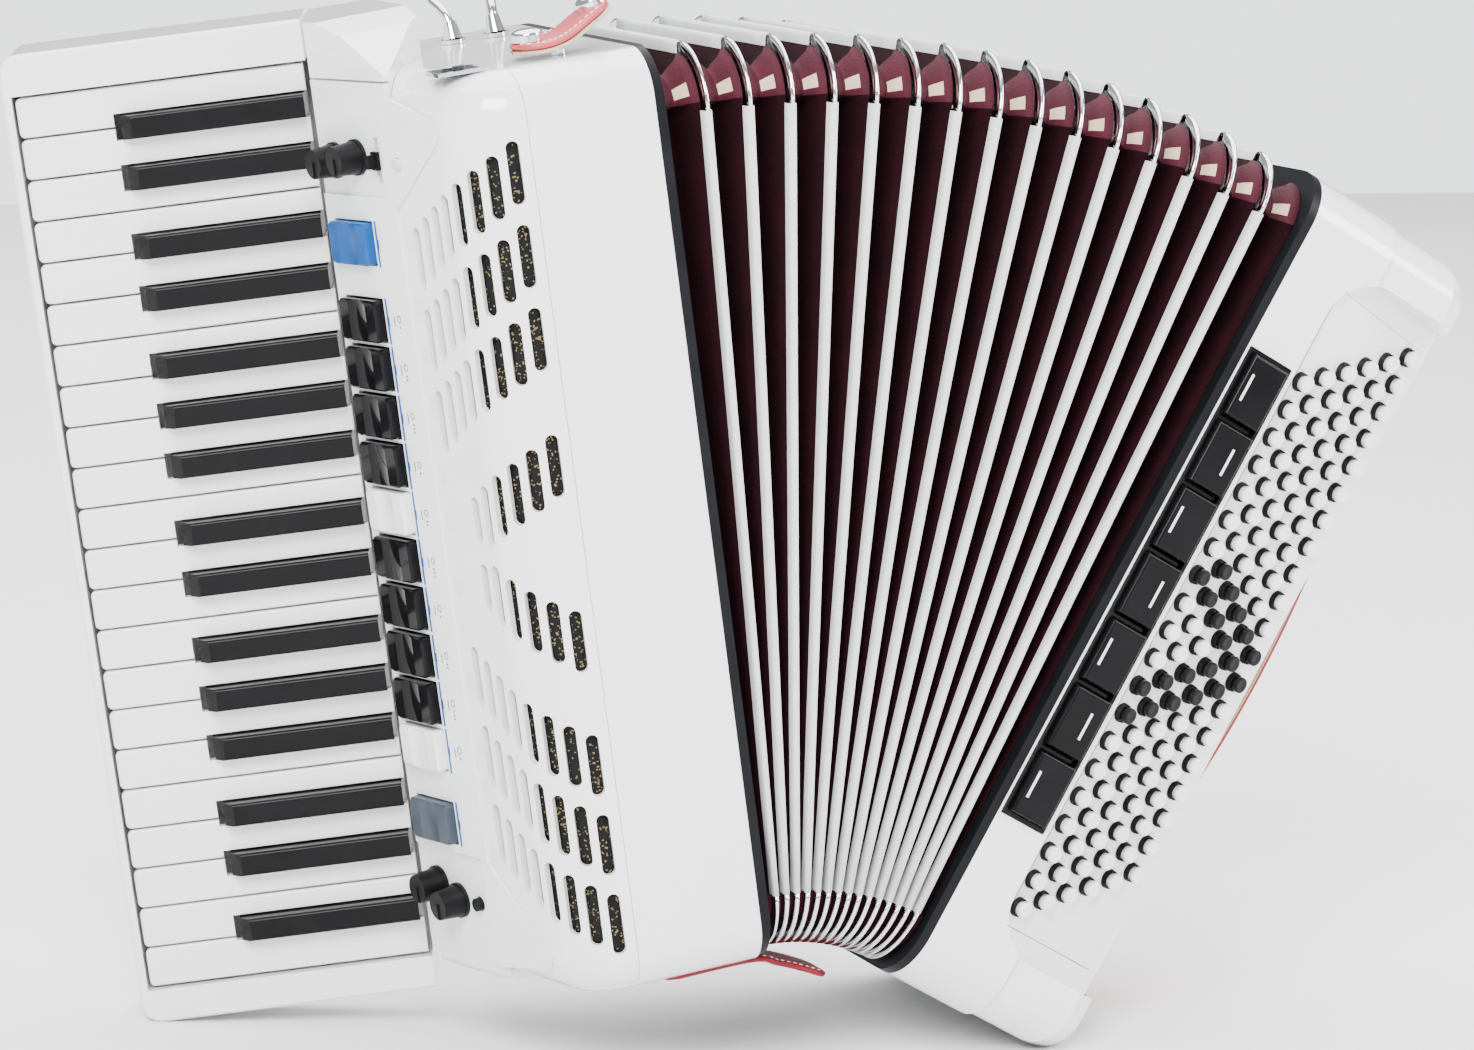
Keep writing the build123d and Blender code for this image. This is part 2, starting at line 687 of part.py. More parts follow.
rest, cover = treble_parts()
jacks = rod((-30.0, BODY_D - 30, 60.0), (-30.0, BODY_D + 5, 60.0), 3.2)
jack_block = box(-37.0, -23.0, BODY_D - 20, BODY_D - 1, 52.0, 68.0)
rest = rest + shoulder() + jack_block - jacks
save(TREBLE * rest, "treble_casing")
save(TREBLE * cover, "grille_cover")
save(TREBLE * grille_mesh(), "grille_mesh")
save(TREBLE * control_panel(), "control_panel")
save(TREBLE * gasket(-GASKET_T + 0.15, -0.2), "treble_gasket")
save(KEYS * keyboard_housing(), "keyboard_housing")
save(KEYS * rod((AXLE_X, AXLE_Y, -3.0), (AXLE_X, AXLE_Y, 410.0), AXLE_R), "key_axle")

blacks = black_centres()
for note in NOTES:
    keys = [white_key(i, blacks) for i in range(WHITE_KEYS) if NOTES[i % 7] == note]
    save(KEYS * gather(keys), "keys_" + note.lower())
for node, names in [("keys_black_threes", "GAF"), ("keys_black_twos", "CD")]:
    save(KEYS * gather([black_key(zb) for name, zb in blacks if name in names]), node)

heights = register_heights()
groups = {"register_blue": [0], "registers_black": [1, 2, 3, 4, 6, 7, 8, 9], "registers_white": [5, 10], "register_grey": [11]}
for node, members in groups.items():
    save(PANEL * gather([register_cap(heights[i]) for i in members]), node)
for node, y, z in [("knob_upper_a", 47.2, 366.0), ("knob_upper_b", 29.2, 368.0), ("knob_lower_a", 46.2, 39.5), ("knob_lower_b", 30.4, 34.0)]:
    save(PANEL * knob(y, z), node)
slider = box(-5.4, 3.5, 12.2, 14.2, 364.0, 370.0) + box(-1.8, -0.3, 10.6, 15.8, 363.0, 371.0)
save(PANEL * slider, "mode_slider")
save(PANEL * rod((-2.6, 13.9, 34.7), (5.0, 13.9, 34.7), 3.0), "panel_button")

for k in range(1, FOLDS + 1):
    save(fold_frame(k) * fold(), "fold_%02d" % k)
cloth = []
for k in range(FOLDS + 1):
    cloth.extend(cloth_interval(k))
save(gather(cloth), "bellows_cloth")

save(BASS * bass_casing(), "bass_casing")
save(BASS * gasket(0.2, GASKET_T - 0.15), "bass_gasket")
save(BASS_FACE * button_panel(), "button_panel")
white = [bass_button(x, z) for c, r, x, z in button_sites() if not button_is_black(c, r)]
black = [bass_button(x, z) for c, r, x, z in button_sites() if button_is_black(c, r)]
save(BASS_FACE * gather(white), "bass_buttons_white")
save(BASS_FACE * gather(black), "bass_buttons_black")
save(BASS * bass_bezel(), "bass_bezel")
save(BASS * gather([bass_bar(i) for i in range(BASS_BARS)]), "bass_registers")
save(BASS * feet(), "bass_feet")
save(BASS * hand_strap(), "hand_strap")
save(BASS * rod((BASS_W - 6, 66, 322), (BASS_W + 3.5, 66, 322), 7.0), "air_button")

save(TREBLE * strap_loop(), "strap_loop")
save(TREBLE * port_cover(), "port_cover")
save(TREBLE * top_strap(), "bellows_strap_top")
save(TREBLE * gather([port_frame(), strap_studs()]), "chrome_trim")
save(TREBLE * bottom_strap(), "bellows_strap_bottom")
save(TREBLE * speakers(), "speakers")
save(TREBLE * lower_bracket(), "strap_bracket_lower")
save(PANEL * rod((-3.4, -5.9, 366.5), (-0.9, -5.9, 366.5), 2.7), "power_button")
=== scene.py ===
import math

import bpy
from mathutils import Matrix, Vector


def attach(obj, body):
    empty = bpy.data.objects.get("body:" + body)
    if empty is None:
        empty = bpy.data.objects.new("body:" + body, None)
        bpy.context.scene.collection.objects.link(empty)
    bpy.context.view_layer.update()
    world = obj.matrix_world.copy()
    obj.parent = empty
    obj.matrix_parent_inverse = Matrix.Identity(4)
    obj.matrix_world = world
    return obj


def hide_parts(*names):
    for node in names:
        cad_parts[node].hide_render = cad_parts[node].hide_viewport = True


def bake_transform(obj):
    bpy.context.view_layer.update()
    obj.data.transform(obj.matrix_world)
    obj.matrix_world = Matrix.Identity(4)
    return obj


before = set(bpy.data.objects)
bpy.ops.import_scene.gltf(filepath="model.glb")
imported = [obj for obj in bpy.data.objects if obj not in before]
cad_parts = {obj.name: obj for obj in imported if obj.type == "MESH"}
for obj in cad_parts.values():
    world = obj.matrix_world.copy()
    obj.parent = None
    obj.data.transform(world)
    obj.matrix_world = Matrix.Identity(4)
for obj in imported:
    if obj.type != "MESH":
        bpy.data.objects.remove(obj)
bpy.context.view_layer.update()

# Looks of the piano accordion. Metres, in the row frame. MM turns millimetres into metres.
MM = 0.001

# ---- the instrument's driving dimensions, as in the CAD model ------------------------
LEAN = 9.24
STAND = (-23.411, -107.241, 53.075)
FAN = 38.3
FOLDS = 15
FOLD_PITCH = 3.70
BODY_H = 404.0
BODY_D = 190.0
BASS_FRONT = 31.0
BASS_TILT = 25.0
BASS_W = 106.0
RING_LOW = 2.0
RING_R = 28.0
TAPE_DEEP = 9.0
VALLEY_DEEP = 24.0
GUSSET_DEEP = 13.0
SIDE_STEPS = 8
CORNER_STEPS = 10


def shift(x, y, z):
    return Matrix.Translation((x * MM, y * MM, z * MM))


def turn(angle, axis):
    return Matrix.Rotation(math.radians(angle), 4, axis)


TREBLE = shift(*STAND) @ turn(-LEAN, "Y")
PANEL = TREBLE @ shift(-103.3, 62.0, 0) @ turn(14.0, "Z")


def fold_frame(k):
    place = TREBLE.copy()
    half = shift(FOLD_PITCH / 2, 0, 0)
    for _ in range(k):
        place = place @ half @ turn(FAN / (FOLDS + 1), "Y") @ half
    return place


BASS = fold_frame(FOLDS + 1)
BASS_FACE = BASS @ shift(BASS_FRONT, 2.0, 0) @ turn(BASS_TILT, "Z")


def at(place, x, y, z):
    return place @ Vector((x * MM, y * MM, z * MM))


# ---- materials -----------------------------------------------------------------------
def shine(color):
    """Dark pieces mirror the white studio less, so that they stay dark."""
    if max(color) < 0.02:
        return 0.10
    if max(color) < 0.35:
        return 0.2
    return 0.5


def material(name, color, rough, metal=0.0, coat=0.0, vary=0.04, vary_scale=60.0, bump=0.05, bump_scale=900.0,
             bump_kind="noise", deep=0.0001, rough_vary=0.08):
    mat = bpy.data.materials.new(name)
    mat.use_nodes = True
    nodes = mat.node_tree.nodes
    links = mat.node_tree.links
    shader = nodes["Principled BSDF"]
    shader.inputs["Metallic"].default_value = metal
    shader.inputs["Coat Weight"].default_value = coat
    shader.inputs["Coat Roughness"].default_value = 0.06
    shader.inputs["Specular IOR Level"].default_value = shine(color)
    where = nodes.new("ShaderNodeTexCoord")
    cloud = nodes.new("ShaderNodeTexNoise")
    cloud.inputs["Scale"].default_value = vary_scale
    cloud.inputs["Detail"].default_value = 4.0
    links.new(where.outputs["Object"], cloud.inputs["Vector"])
    ramp = nodes.new("ShaderNodeValToRGB")
    low = [c * (1 - vary) for c in color] + [1.0]
    high = [min(1.0, c * (1 + vary)) for c in color] + [1.0]
    ramp.color_ramp.elements[0].position = 0.3
    ramp.color_ramp.elements[0].color = low
    ramp.color_ramp.elements[1].position = 0.7
    ramp.color_ramp.elements[1].color = high
    links.new(cloud.outputs["Fac"], ramp.inputs["Fac"])
    links.new(ramp.outputs["Color"], shader.inputs["Base Color"])
    spread = nodes.new("ShaderNodeMapRange")
    spread.inputs["To Min"].default_value = max(0.02, rough - rough_vary / 2)
    spread.inputs["To Max"].default_value = rough + rough_vary / 2
    links.new(cloud.outputs["Fac"], spread.inputs["Value"])
    links.new(spread.outputs["Result"], shader.inputs["Roughness"])
    if bump_kind == "noise":
        grain = nodes.new("ShaderNodeTexNoise")
        grain.inputs["Detail"].default_value = 3.0
        out = "Fac"
    elif bump_kind == "cells":
        grain = nodes.new("ShaderNodeTexVoronoi")
        out = "Distance"
    else:
        grain = nodes.new("ShaderNodeTexWave")
        grain.wave_profile = "SIN"
        out = "Fac"
    grain.inputs["Scale"].default_value = bump_scale
    if bump_kind == "ribs":
        grain.bands_direction = "Y"
        grain.inputs["Distortion"].default_value = 0.6
        grain.inputs["Detail Scale"].default_value = 3.0
        links.new(where.outputs["UV"], grain.inputs["Vector"])
    else:
        links.new(where.outputs["Object"], grain.inputs["Vector"])
    relief = nodes.new("ShaderNodeBump")
    relief.inputs["Strength"].default_value = bump
    relief.inputs["Distance"].default_value = deep
    links.new(grain.outputs[out], relief.inputs["Height"])
    links.new(relief.outputs["Normal"], shader.inputs["Normal"])
    return mat, nodes, links, shader, where, ramp


def plain(*args, **kinds):
    return material(*args, **kinds)[0]


def sparkle(name):
    """Black woven mesh with gold threads, behind the grille."""
    mat, nodes, links, shader, where, ramp = material(name, (0.012, 0.011, 0.010), 0.45, metal=0.3, bump=0.7,
                                                      bump_scale=520.0, bump_kind="cells", deep=0.0004)
    cells = nodes.new("ShaderNodeTexVoronoi")
    cells.inputs["Scale"].default_value = 1500.0
    links.new(where.outputs["Object"], cells.inputs["Vector"])
    pick = nodes.new("ShaderNodeValToRGB")
    pick.color_ramp.interpolation = "CONSTANT"
    pick.color_ramp.elements[0].color = (0.010, 0.010, 0.010, 1)
    pick.color_ramp.elements[1].position = 0.80
    pick.color_ramp.elements[1].color = (0.20, 0.15, 0.075, 1)
    links.new(cells.outputs["Color"], pick.inputs["Fac"])
    links.new(pick.outputs["Color"], shader.inputs["Base Color"])
    return mat


LACQUER = plain("lacquer_white", (0.80, 0.80, 0.80), 0.13, coat=0.7, vary=0.012, vary_scale=18.0, bump=0.03,
                bump_scale=260.0)
PANEL_WHITE = plain("panel_white", (0.78, 0.79, 0.80), 0.24, coat=0.3, vary=0.015, bump=0.06,
                    bump_scale=1400.0)
KEY_WHITE = plain("key_white", (0.80, 0.80, 0.79), 0.22, coat=0.4, vary=0.015, vary_scale=30.0, bump=0.03,
                  bump_scale=700.0)
KEY_BLACK = plain("key_black", (0.004, 0.004, 0.0045), 0.20, vary=0.2, bump=0.10, bump_scale=1600.0)
GLOSS_BLACK = plain("gloss_black", (0.004, 0.004, 0.0045), 0.08, vary=0.2, bump=0.03, bump_scale=400.0)
SATIN_BLACK = plain("satin_black", (0.006, 0.006, 0.0065), 0.38, vary=0.2, bump=0.18, bump_scale=2200.0)
RUBBER = plain("rubber_black", (0.006, 0.0065, 0.008), 0.38, vary=0.2, bump=0.25, bump_scale=1800.0)
CHROME = plain("chrome", (0.78, 0.79, 0.81), 0.10, metal=1.0, vary=0.03, bump=0.04, bump_scale=500.0)
STEEL = plain("brushed_steel", (0.60, 0.60, 0.62), 0.28, metal=1.0, vary=0.05, bump=0.15, bump_scale=1500.0)
TAPE = plain("white_tape", (0.74, 0.75, 0.76), 0.55, vary=0.04, vary_scale=120.0, bump=0.75, bump_scale=5.0,
             bump_kind="ribs", deep=0.0004)
# Partly painted shade: the cloth's own colour is dark burgundy, and it is darkened further to near black to
# stand for the shade deep in the bellows valleys.
CLOTH_DARKENED_FOR_SHADE = plain("burgundy_cloth", (0.009, 0.0008, 0.0022), 0.92, vary=0.25, bump=0.6, bump_scale=1300.0,
              bump_kind="cells", deep=0.0003)
GUSSET = plain("burgundy_leather", (0.042, 0.003, 0.010), 0.75, vary=0.2, bump=0.5, bump_scale=700.0,
               bump_kind="cells", deep=0.0003)
SUEDE = plain("beige_suede", (0.50, 0.38, 0.28), 0.90, vary=0.15, bump=0.7, bump_scale=1600.0, deep=0.0003)
RED_LEATHER = plain("red_leather", (0.46, 0.040, 0.055), 0.42, coat=0.15, vary=0.10, bump=0.5,
                    bump_scale=800.0, bump_kind="cells", deep=0.0003)
DARK_LEATHER = plain("dark_red_leather", (0.20, 0.012, 0.022), 0.5, vary=0.15, bump=0.5, bump_scale=800.0,
                     bump_kind="cells", deep=0.0003)
THREAD = plain("cream_thread", (0.80, 0.72, 0.60), 0.75, vary=0.1, bump=0.6, bump_scale=3000.0)
BLUE = plain("blue_plastic", (0.001, 0.058, 0.230), 0.30, vary=0.05, bump=0.05)
GREY = plain("grey_plastic", (0.040, 0.050, 0.068), 0.32, vary=0.05, bump=0.05)
PALE_GREY = plain("pale_grey_plastic", (0.60, 0.61, 0.62), 0.3, vary=0.03, bump=0.05)
BLUE_INK = plain("blue_ink", (0.001, 0.070, 0.330), 0.35, vary=0.05, bump=0.02)
GREY_INK = plain("grey_ink", (0.018, 0.020, 0.025), 0.40, vary=0.05, bump=0.02)
WHITE_INK = plain("white_ink", (0.75, 0.76, 0.77), 0.40, vary=0.03, bump=0.02)
CONE_PAPER = plain("speaker_paper", (0.020, 0.020, 0.022), 0.8, vary=0.2, bump=0.4, bump_scale=1400.0)
SMOKED = plain("smoked_cover", (0.030, 0.036, 0.045), 0.06, coat=0.8, vary=0.1, bump=0.02)
MESH = sparkle("grille_mesh_weave")

NODE_LOOKS = {
    "treble_casing": LACQUER, "grille_cover": LACQUER, "keyboard_housing": LACQUER, "bass_casing": LACQUER,
    "control_panel": PANEL_WHITE, "button_panel": PANEL_WHITE, "grille_mesh": MESH,
    "treble_gasket": RUBBER, "bass_gasket": RUBBER, "bass_feet": RUBBER, "key_axle": STEEL,
    "strap_loop": CHROME, "chrome_trim": CHROME, "strap_bracket_lower": CHROME, "port_cover": SMOKED,
    "speakers": CONE_PAPER, "mode_slider": SATIN_BLACK, "panel_button": SATIN_BLACK,
    "power_button": PALE_GREY, "register_blue": BLUE, "registers_black": GLOSS_BLACK,
    "registers_white": KEY_WHITE, "register_grey": GREY,
    "bass_bezel": GLOSS_BLACK, "bass_registers": GLOSS_BLACK, "bass_buttons_white": KEY_WHITE,
    "bass_buttons_black": SATIN_BLACK, "air_button": KEY_WHITE,
    "knob_upper_a": SATIN_BLACK, "knob_upper_b": SATIN_BLACK, "knob_lower_a": SATIN_BLACK,
    "knob_lower_b": SATIN_BLACK, "keys_black_threes": KEY_BLACK, "keys_black_twos": KEY_BLACK,
}
for letter in "abcdefg":
    NODE_LOOKS["keys_" + letter] = KEY_WHITE
for node, mat in NODE_LOOKS.items():
    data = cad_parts[node].data
    data.materials.clear()
    data.materials.append(mat)


# ---- mesh helpers --------------------------------------------------------------------
def piece(name, verts, faces, mats, ids=None, uvs=None, smooth=True):
    data = bpy.data.meshes.new(name)
    data.from_pydata([tuple(v) for v in verts], [], faces)
    for mat in mats:
        data.materials.append(mat)
    if ids:
        data.polygons.foreach_set("material_index", ids)
    if uvs:
        layer = data.uv_layers.new(name="along")
        for poly in data.polygons:
            for loop in poly.loop_indices:
                layer.data[loop].uv = uvs[data.loops[loop].vertex_index]
    data.polygons.foreach_set("use_smooth", [smooth] * len(data.polygons))
    data.validate()
    obj = bpy.data.objects.new(name, data)
    bpy.context.scene.collection.objects.link(obj)
    return obj


def grid_faces(rows, cols, close_cols=False, offset=0):
    faces = []
    for i in range(rows - 1):
        for j in range(cols - (0 if close_cols else 1)):
            a = offset + i * cols + j
            b = offset + i * cols + (j + 1) % cols
            faces.append((a, b, b + cols, a + cols))
    return faces


def lathe(place, profile, steps=32):
    """A turned shape about the place's Z axis; profile holds (radius, height) in millimetres."""
    verts = []
    for r, h in profile:
        for i in range(steps):
            t = 2 * math.pi * i / steps
            verts.append(at(place, r * math.cos(t), r * math.sin(t), h))
    return verts, grid_faces(len(profile), steps, close_cols=True)


def join(parts):
    verts, faces = [], []
    for v, f in parts:
        base = len(verts)
        verts.extend(v)
        faces.extend([tuple(i + base for i in face) for face in f])
    return verts, faces


def slab(place, corners, low, high):
    """A flat plate on a place's X axis: corners hold (y, z) in millimetres, low and high its two x values."""
    n = len(corners)
    verts = [at(place, low, y, z) for y, z in corners] + [at(place, high, y, z) for y, z in corners]
    faces = [tuple(range(n)), tuple(reversed(range(n, 2 * n)))]
    for i in range(n):
        faces.append((i, i + n, (i + 1) % n + n, (i + 1) % n))
    return verts, faces


# ---- bellows -------------------------------------------------------------------------
def ring_path():
    """Round the bellows frame: y, z, outward normal, side number, and whether the point is on a corner."""
    y0, y1 = RING_LOW, BODY_D - RING_LOW
    z0, z1 = RING_LOW, BODY_H - RING_LOW
    r = RING_R
    centres = [(y0 + r, z1 - r, 180), (y1 - r, z1 - r, 90), (y1 - r, z0 + r, 0), (y0 + r, z0 + r, -90)]
    sides = [((y0, z0 + r), (y0, z1 - r)), ((y0 + r, z1), (y1 - r, z1)), ((y1, z1 - r), (y1, z0 + r)),
             ((y1 - r, z0), (y0 + r, z0))]
    points = []
    for side in range(4):
        (ya, za), (yb, zb) = sides[side]
        angle = math.radians((180, 90, 0, -90)[side])
        facing = (math.cos(angle), math.sin(angle))
        for i in range(SIDE_STEPS + 1):
            t = i / SIDE_STEPS
            points.append((ya + (yb - ya) * t, za + (zb - za) * t, *facing, side, "side"))
        yc, zc, start = centres[side]
        for i in range(1, CORNER_STEPS):
            t = math.radians(start - 90.0 * i / CORNER_STEPS)
            facing = (math.cos(t), math.sin(t))
            points.append((yc + r * facing[0], zc + r * facing[1], *facing, side, "corner"))
    return points


RING = ring_path()


def valley_material(i, j):
    """0 is cloth, 1 the leather of a corner, 2 the beige patch low on the front top corner."""
    if RING[i][5] != "corner":
        return 0
    step = i % (SIDE_STEPS + CORNER_STEPS) - (SIDE_STEPS + 1)
    return 2 if RING[i][4] == 0 and step in (1, 2) and j in (4, 5) else 1


def tape_half(z):
    return 1.25 + 0.65 * z / BODY_H


def band(name, place, section, mats):
    """A strip on each straight side of one fold; section gives (share of the half width, depth)."""
    verts, faces, uvs = [], [], []
    for side in range(4):
        run = [point[:4] for point in RING if point[4] == side and point[5] == "side"]
        base = len(verts)
        for y, z, ny, nz in run:
            along = math.hypot(y - run[0][0], z - run[0][1])
            for j, (share, deep) in enumerate(section):
                verts.append(at(place, share * tape_half(z), y - ny * deep, z - nz * deep))
                uvs.append((j * 0.2, along * 0.1))
        faces.extend(grid_faces(len(run), len(section), offset=base))
    return piece(name, verts, faces, mats, uvs=uvs)


TAPE_SIDE = [(0.3, 0.05), (0.75, 0.4), (0.97, 1.6), (1.0, 5.0), (0.9, TAPE_DEEP)]
TAPE_SECTION = [(-share, deep) for share, deep in reversed(TAPE_SIDE)] + TAPE_SIDE
CHROME_SIDE = [(0.4, 0.0), (0.8, 0.06), (1.0, 0.2), (0.9, 1.0)]
CHROME_SECTION = [(-share, down) for share, down in reversed(CHROME_SIDE)] + CHROME_SIDE
CHROME_HALF = 0.95
CHROME_DEEP = 4.5
CHROME_SWELL = 6.0


def chrome_corner(name, place):
    """Bright channels round the four corners of one fold, deepest half way round."""
    verts, faces = [], []
    n = len(RING)
    for side in range(4):
        own = [i for i in range(n) if RING[i][4] == side and RING[i][5] == "corner"]
        run = [own[0] - 1] + own + [(own[-1] + 1) % n]
        base = len(verts)
        for step, i in enumerate(run):
            y, z, ny, nz = RING[i][:4]
            deep = CHROME_DEEP + CHROME_SWELL * math.sin(math.pi * step / (len(run) - 1))
            for share, down in CHROME_SECTION:
                verts.append(at(place, share * CHROME_HALF, y - ny * deep * down, z - nz * deep * down))
        faces.extend(grid_faces(len(run), len(CHROME_SECTION), offset=base))
    return piece(name, verts, faces, [CHROME])


def thicken(obj, thickness):
    solid = obj.modifiers.new("thickness", "SOLIDIFY")
    solid.thickness = thickness * MM
    solid.offset = 0.0
    return obj


def body_name(k):
    if k == 0:
        return "treble"
    if k == FOLDS + 1:
        return "bass"
    return "fold_%02d" % k


VALLEY_SHARES = [0.0, 0.35, 0.75, 1.0, 1.0, 0.75, 0.35, 0.0]
VALLEY_TOP = 5.0
LOW_END = 60.0
LOW_DEEP = 12.0


def valley(k):
    """Cloth between fold k and fold k+1: down one flank, round the valley and up the other."""
    left, right = fold_frame(k), fold_frame(k + 1)
    first, last = k == 0, k == FOLDS
    verts, faces, ids = [], [], []
    cols = len(VALLEY_SHARES)
    for y, z, ny, nz, side, kind in RING:
        half = tape_half(z)
        bottom = GUSSET_DEEP if kind == "corner" else VALLEY_DEEP
        if z < LOW_END:
            bottom = min(bottom, LOW_DEEP)
        a0 = at(left, 0.0 if first else half * 0.9, 0, 0) - at(left, 0, 0, 0)
        b0 = at(right, 0.0 if last else -half * 0.9, 0, 0) - at(right, 0, 0, 0)
        for j, share in enumerate(VALLEY_SHARES):
            deep = VALLEY_TOP + (bottom - VALLEY_TOP) * share
            a = at(left, 0, y - ny * deep, z - nz * deep) + a0
            b = at(right, 0, y - ny * deep, z - nz * deep) + b0
            t = 0.5 * share - (0.03 if share == 1.0 else 0.0)
            if j >= cols // 2:
                a, b = b, a
            verts.append(a.lerp(b, t))
    n = len(RING)
    for i in range(n):
        for j in range(cols - 1):
            a = i * cols + j
            b = ((i + 1) % n) * cols + j
            faces.append((a, a + 1, b + 1, b))
            ids.append(valley_material(i, j))
    obj = piece("bellows_valley_%02d" % (k + 1), verts, faces, [CLOTH_DARKENED_FOR_SHADE, GUSSET, SUEDE], ids=ids)
    thicken(obj, 0.35)
    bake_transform(obj)
    return obj


for k in range(1, FOLDS + 1):
    place = fold_frame(k)
    tape = thicken(band("fold_tape_%02d" % k, place, TAPE_SECTION, [TAPE]), 0.3)
    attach(tape, body_name(k))
    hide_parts(body_name(k))
    metal = thicken(chrome_corner("fold_corner_%02d" % k, place), 0.3)
    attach(metal, body_name(k))
cloths = [valley(k) for k in range(FOLDS + 1)]
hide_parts("bellows_cloth")


# ---- straps --------------------------------------------------------------------------
def spline_value(a, b, c, d, t):
    """Catmull-Rom between b and c."""
    square = (2 * a - 5 * b + 4 * c - d) * t * t
    cube = (3 * b - a - 3 * c + d) * t ** 3
    return 0.5 * (2 * b + (c - a) * t + square + cube)


def smooth_line(points, steps=8):
    """A line through the points, rounded at each of them."""
    out = []
    for i in range(len(points) - 1):
        p0 = points[max(i - 1, 0)]
        p1, p2 = points[i], points[i + 1]
        p3 = points[min(i + 2, len(points) - 1)]
        for s in range(steps):
            t = s / steps
            out.append(tuple(spline_value(p0[c], p1[c], p2[c], p3[c], t) for c in range(2)))
    out.append(points[-1])
    return out


def strap_stations(points):
    """Along the line: (x, z, normal x, normal z, distance from the start)."""
    line = smooth_line(points)
    stations = []
    run = 0.0
    for i, (x, z) in enumerate(line):
        xa, za = line[max(i - 1, 0)]
        xb, zb = line[min(i + 1, len(line) - 1)]
        length = math.hypot(xb - xa, zb - za)
        if i:
            run += math.hypot(x - line[i - 1][0], z - line[i - 1][1])
        stations.append((x, z, -(zb - za) / length, (xb - xa) / length, run))
    return stations


def end_width(run, total, half, round_end):
    near = min(run, total - run)
    if near >= round_end:
        return half
    return half * math.sqrt(max(0.02, 1 - ((round_end - near) / round_end) ** 2))


def pad(name, place, stations, y_mid, half, low, high, mat, round_end, crown=0.55):
    """A stuffed strap between heights low and high over its line, crowned across and closed at both ends."""
    steps = 28
    total = stations[-1][4]
    verts, uvs = [], []
    for x, z, nx, nz, run in stations:
        width = end_width(run, total, half, round_end)
        squeeze = 0.45 + 0.55 * min(1.0, min(run, total - run) / 4.0)
        for j in range(steps):
            t = 2 * math.pi * j / steps
            c, s = math.cos(t), math.sin(t)
            across = width * math.copysign(abs(c) ** 0.55, c)
            lift = math.copysign(abs(s) ** crown, s) * squeeze
            up = (low + high) / 2 + (high - low) / 2 * lift
            verts.append(at(place, x + nx * up, y_mid + across, z + nz * up))
            uvs.append((j / steps, run * 0.1))
    faces = grid_faces(len(stations), steps, close_cols=True)
    faces.append(tuple(range(steps)))
    faces.append(tuple(reversed(range((len(stations) - 1) * steps, len(stations) * steps))))
    return piece(name, verts, faces, [mat], uvs=uvs)


def stitches(name, place, stations, y_mid, half, high, round_end, inset=2.2, pitch=3.0):
    """Short threads along both edges, on the crown of the strap."""
    total = stations[-1][4]
    parts = []
    count = int((total - 6.0) / pitch)
    for side in (-1, 1):
        for i in range(count):
            run = 3.0 + pitch * i
            index = min(range(len(stations)), key=lambda m: abs(stations[m][4] - run))
            x, z, nx, nz, here = stations[index]
            x += nz * (run - here)
            z -= nx * (run - here)
            y = y_mid + side * (end_width(run, total, half, round_end) - inset)
            rows = []
            for s, r in ((-0.9, 0.05), (-0.6, 0.30), (0.0, 0.38), (0.6, 0.30), (0.9, 0.05)):
                for j in range(6):
                    t = 2 * math.pi * j / 6
                    up = high + r * math.sin(t)
                    rows.append(at(place, x + nz * s + nx * up, y + r * math.cos(t), z - nx * s + nz * up))
            parts.append((rows, grid_faces(5, 6, close_cols=True)))
    verts, faces = join(parts)
    return piece(name, verts, faces, [THREAD])


def leather_strap(node, body, place, points, y_mid, half, low, high, leather, round_end, lining=True):
    stations = strap_stations(points)
    split = low + (high - low) * (0.34 if lining else 0.0)
    top = pad(node + "_leather", place, stations, y_mid, half, split, high, leather, round_end)
    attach(top, body)
    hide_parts(node)
    thread = stitches(node + "_stitching", place, stations, y_mid, half, high - 0.35, round_end)
    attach(thread, body)
    pieces = [thread]
    if lining:
        under = pad(node + "_lining", place, stations, y_mid, half + 0.3, low, split + 0.4, SUEDE, round_end)
        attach(under, body)
        pieces.append(under)
    return top


TOP_STRAP = [(-54.0, BODY_H + 2.6), (-40.0, BODY_H + 2.6), (-30.0, BODY_H + 5.0), (-20.0, BODY_H + 10.5),
             (-8.0, BODY_H + 17.0)]
leather_strap("bellows_strap_top", "treble", TREBLE, TOP_STRAP, 33.0, 12.0, 0.0, 5.4, RED_LEATHER, 11.0)
UNDER_STRAP = [(-44.0, -5.4), (-2.0, -5.4), (10.0, -9.5), (22.0, -15.0), (34.0, -21.5)]
leather_strap("bellows_strap_bottom", "treble", TREBLE, UNDER_STRAP, 39.0, 13.0, 0.0, 3.4, DARK_LEATHER,
              8.0, lining=False)
HAND_STRAP = []
for i in range(11):
    share = i / 10
    HAND_STRAP.append((BASS_W + 0.6 + 30.0 * math.sin(math.pi * share) ** 0.7, 370.0 - 336.0 * share))
leather_strap("hand_strap", "bass", BASS, HAND_STRAP, 121.0, 29.0, 0.0, 3.0, RED_LEATHER, 10.0)

DOME = [(7.0, 0.0), (7.0, 0.5), (6.6, 1.2), (5.6, 1.9), (4.0, 2.4), (2.0, 2.7), (0.02, 2.8)]
first_cap = TREBLE @ shift(-46.2, 33.0, BODY_H + 10.6)
second_cap = TREBLE @ shift(-16.6, 33.0, BODY_H + 21.0) @ turn(-27.5, "Y")
caps = piece("strap_caps", *join([lathe(first_cap, DOME), lathe(second_cap, DOME)]), [CHROME])
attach(caps, "treble")


# ---- bass side details ---------------------------------------------------------------
BUTTON_ROWS = 20
BUTTON_COLS = 6


def button_sites():
    """Column, row, and the place of each bass button on its panel."""
    for col in range(BUTTON_COLS):
        for row in range(BUTTON_ROWS):
            yield col, row, 7.1 + 12.3 * col, 319.0 + 7.7 * col - 13.97 * row


def button_is_black(col, row):
    if row in (11, 12):
        return True
    return row in (7, 8, 9, 10) and col in (row - 7, row - 6)


